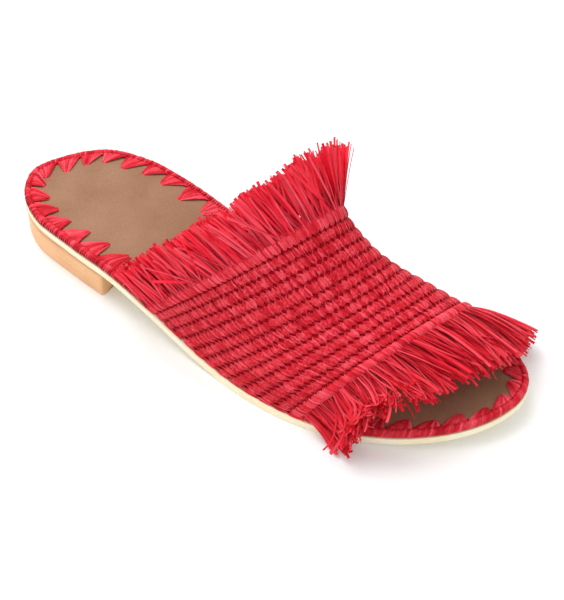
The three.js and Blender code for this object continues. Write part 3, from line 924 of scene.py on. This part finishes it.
def makeRimCord():
    share = evenShares(int(outlineRun[-1] / rimCord["pitch"]))
    share = share[clearOfBand(share, rimCord["margin"])]
    count = len(share)
    flat = outline(share, rimCord["inset"])
    centre = np.column_stack([flat, soleTop(flat[:, 1]) + rimCord["tall"] + rimCord["lift"]])
    way = np.column_stack([outlineDirection(share), np.zeros(count)])
    outward = np.column_stack([way[:, 1], -way[:, 0], np.zeros(count)])
    angles = np.radians(np.linspace(rimCord["from"], rimCord["to"], rimCord["steps"]))
    swell = 1 + rng.normal(0, rimCord["swell"], (count, 1))
    path = (
        centre[:, None]
        + outward[:, None] * (np.cos(angles) * rimCord["wide"] * swell)[..., None]
        + up * (np.sin(angles) * rimCord["tall"] * swell)[..., None]
        + way[:, None] * (np.linspace(-1, 1, len(angles)) * rimCord["slant"])[None, :, None]
    )
    side, face = stripFrame(path, unit(path - centre[:, None]))
    points = ribbons(path, side, face, rimCord["strandHalf"] * rimCord["pitch"], rimCord["strandBow"])
    data = strandData(len(angles), rimCord["length"], randomTones(count, *rimCord["tone"]))
    makeStrips("edgingCord", (points, data, None), edgingRaffia, ["insole_edging"])


def makeRimGround():
    # painted shade: a dark sheet in the space between the cord and the fans, and the skirt behind the cord
    share = np.linspace(0, 1, rimGround["points"], endpoint=False)
    byBand = np.where(clearOfBand(share, rimGround["margin"]), 0, rimGround["bandInset"])[:, None]
    rings = []
    for inset, height in rimGround["rings"]:
        flat = outline(share, inset + byBand)
        rings.append(np.column_stack([flat, soleTop(flat[:, 1]) + height]))
    makeRings("edgingGround", rings, paintedShadeRaffiaFinish(), ["insole_edging"])


def makeFans():
    share = evenShares(fans["points"])
    way = outlineDirection(share)
    depth = tableAt(fans["tipDepth"], share) + rng.normal(0, fans["depthSpread"], len(share))
    tip = outline(share, depth[:, None]) + way * fans["tipLean"]  # they lean the way the stitches go round
    spread = np.linspace(-0.5, 0.5, fans["strands"])
    start = outline(share[:, None] + spread * fans["footWide"] / fans["points"], fans["from"])
    way = way[:, None]
    end = tip[:, None] + way * (spread * fans["tipWide"])[:, None]
    end = end + rng.normal(0, fans["tipSpread"], start.shape)
    t = np.linspace(0, 1, fans["steps"])
    belly = np.sin(math.pi * t) * (spread * fans["belly"])[:, None]  # the outer strands bow out a little
    flat = lerp(start[:, :, None], end[:, :, None], t[:, None]) + way[:, :, None] * belly[..., None]
    flat = flat.reshape(-1, len(t), 2)
    count = len(flat)
    arch = np.sin(math.pi * np.clip(t * fans["archRun"], 0, 1)) ** fans["archPower"]
    lift = fans["lift"] + fans["arch"] * arch + rng.normal(0, fans["liftSpread"], (count, 1))
    lift[:, 0], lift[:, -1] = fans["footSink"], fans["tipSink"]
    path = np.concatenate([flat, (insoleTop(flat[..., 1]) + lift)[..., None]], -1)
    side, face = stripFrame(path, up)
    half = lerp(fans["footHalf"], fans["tipHalf"], t) * rng.uniform(*fans["halfSpread"], (count, 1))
    points = ribbons(path, side, face, half, fans["bow"] * half)
    data = strandData(len(t), fans["length"], randomTones(count, *fans["tone"]))
    makeStrips("edgingFans", (points, data, None), edgingRaffia, ["insole_edging"])


# Studio: pale floor, soft light and the camera at the photograph's angle
studio = {
    "azimuth": 124.7, "elevation": 45.2, "distance": 976, "middle": (0, 125, 10),
    "lens": 133.0, "sensor": 36, "shift": (0.0388, -0.0093), "clipEnd": 20,
    "world": 0.79,
    "lights": [  # name, place, size and power
        ("keyLight", (0.05, -0.4, 1.2), 0.8, 6.8),
        ("fillLight", (-0.3, -0.6, 1.2), 1.0, 4.4),
    ],
}
floorLook = {
    "half": 3, "level": 0.88, "mottle": 0.02, "stops": (0.3, 0.7), "cloud": 6,
    "gloss": 0.1, "roughness": 0.9, "glow": 0.1,
}


def makeCamera(scene):
    azimuth, elevation = math.radians(studio["azimuth"]), math.radians(studio["elevation"])
    level = math.cos(elevation)
    away = np.array([math.sin(azimuth) * level, -math.cos(azimuth) * level, math.sin(elevation)])
    eye = Vector(toFrame(np.array(studio["middle"]) + away * studio["distance"]))
    aim = Vector(toFrame(studio["middle"]))
    camera = bpy.data.objects.new("camera", bpy.data.cameras.new("camera"))
    camera.data.lens = studio["lens"]
    camera.data.sensor_width = studio["sensor"]
    camera.data.shift_x, camera.data.shift_y = studio["shift"]
    camera.data.clip_end = studio["clipEnd"]
    camera.location = eye
    camera.rotation_euler = (aim - eye).to_track_quat("-Z", "Y").to_euler()
    scene.collection.objects.link(camera)
    scene.camera = camera


def makeFloor(scene):
    look = floorLook
    paper = Finish("floorPaper", **{
        "Roughness": look["roughness"], "Specular IOR Level": look["gloss"],
        "Emission Color": (1, 1, 1, 1), "Emission Strength": look["glow"]})
    greys = [(level,) * 3 for level in (look["level"], look["level"] + look["mottle"])]
    cloud = paper.noise(paper.position(), look["cloud"], 2)
    paper.feed("Base Color", paper.ramp(cloud, *zip(look["stops"], greys)))
    mesh = bpy.data.meshes.new("floor")
    half = look["half"]
    corners = [(-half, -half, 0), (half, -half, 0), (half, half, 0), (-half, half, 0)]
    mesh.from_pydata(corners, [], [(0, 1, 2, 3)])
    mesh.materials.append(paper.material)
    floor = bpy.data.objects.new("floor", mesh)
    scene.collection.objects.link(floor)


def makeLights(scene):
    world = bpy.data.worlds.new("studio")
    world.use_nodes = True
    background = world.node_tree.nodes["Background"].inputs
    background["Color"].default_value = (1, 1, 1, 1)
    background["Strength"].default_value = studio["world"]
    scene.world = world
    for name, place, size, power in studio["lights"]:
        light = bpy.data.lights.new(name, "AREA")
        light.size = size
        light.energy = power
        lamp = bpy.data.objects.new(name, light)
        lamp.location = place
        lamp.rotation_euler = (-Vector(place)).to_track_quat("-Z", "Y").to_euler()
        scene.collection.objects.link(lamp)


def makeStudio():
    scene = bpy.context.scene
    scene.view_settings.view_transform = "Standard"  # plain colours on white, as in a catalogue photo
    makeCamera(scene)
    makeFloor(scene)
    makeLights(scene)
    print("studio ready")


makeStudio()
makeOutsole()
makeHeel()
makeInsole()
makeRimGround()
makeRimCord()
makeFans()
makeCore()
makeWeave()
makeRolls()
makeFringes()
